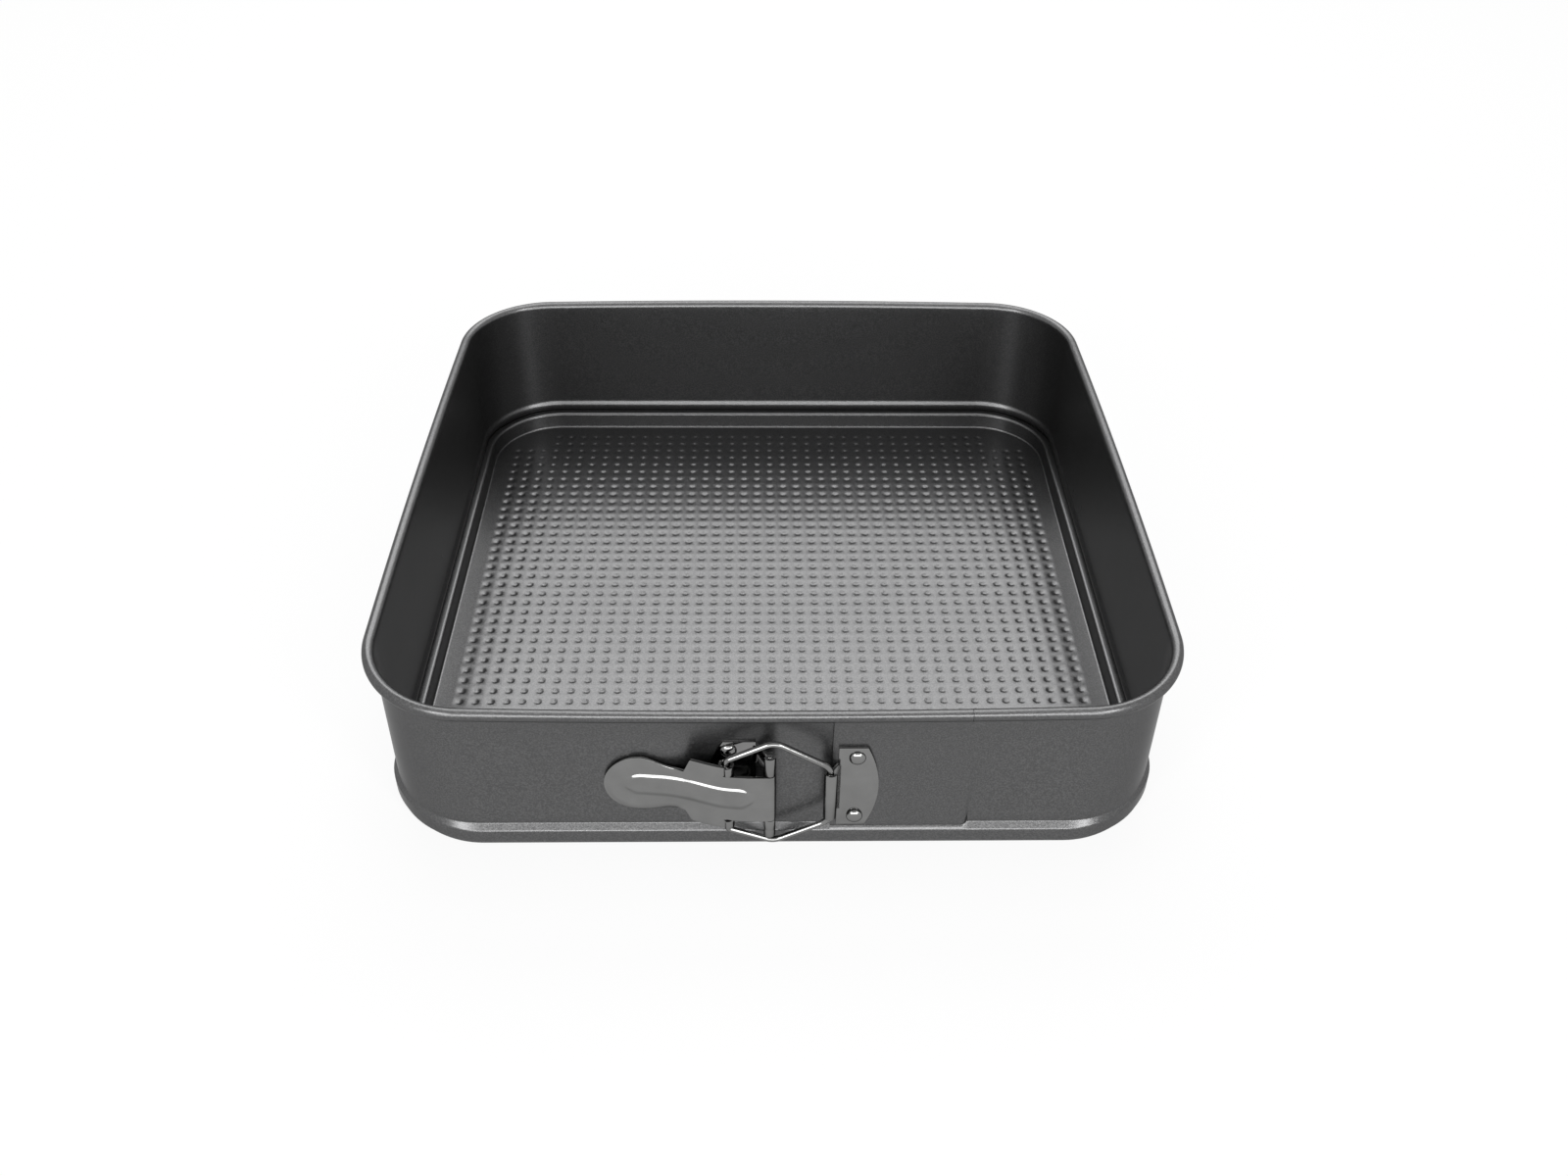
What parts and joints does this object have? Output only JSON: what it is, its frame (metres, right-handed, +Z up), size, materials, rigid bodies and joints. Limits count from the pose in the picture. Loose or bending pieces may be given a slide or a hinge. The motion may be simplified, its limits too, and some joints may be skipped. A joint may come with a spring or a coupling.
{
  "type": "square springform pan",
  "caption": "Square springform baking pan: a lapped sheet-steel band with rolled rim closes on a loose tray base by an over-centre lever clasp with a wire bail.",
  "frame": {"origin": "middle of the base's flat underside, on the table", "axes": "+Z up out of the pan, -Y towards the clasp, +X to the right as seen facing the clasp"},
  "size_m": [0.2505, 0.256, 0.0585],
  "materials": {
    "coated_steel": "dark grey non-stick coating, satin",
    "plated_steel": "bright nickel plating"
  },
  "bodies": {
    "base": {"base_plate": "coated_steel"},
    "band": {"side_band": "coated_steel", "hinge_plate": "plated_steel", "hinge_rivet_upper": "plated_steel", "hinge_rivet_lower": "plated_steel", "hinge_pin": "plated_steel"},
    "band_end": {"keeper_plate": "plated_steel", "keeper_rivet_upper": "plated_steel", "keeper_rivet_lower": "plated_steel"},
    "bail": {"wire_bail": "plated_steel"},
    "lever": {"clasp_lever": "plated_steel"}
  },
  "joints": [
    {"name": "band_lift", "type": "slide", "parent": "base", "child": "band", "axis": [0, 0, 1], "range_m": [0, 0.08]},
    {"name": "lever_swing", "type": "hinge", "parent": "band", "child": "lever", "pos_m": [-0.0016, -0.1266, 0.0253], "axis": [0, 0, 1], "range_deg": [0, 120]},
    {"name": "band_spring", "type": "hinge", "parent": "band", "child": "band_end", "pos_m": [0.118, 0.118, 0.02925], "axis": [0, 0, 1], "range_deg": [0, 4.29], "deforming": ["side_band"]},
    {"name": "bail_swing", "type": "hinge", "parent": "band_end", "child": "bail", "pos_m": [0.0171, -0.12625, 0.0253], "axis": [0, 0, 1], "range_deg": [0, 4.39]}
  ],
  "couplings": [
    {"joint": "band_spring", "follows": "lever_swing", "ratio": 0.035717},
    {"joint": "bail_swing", "follows": "lever_swing", "ratio": 0.036592}
  ]
}
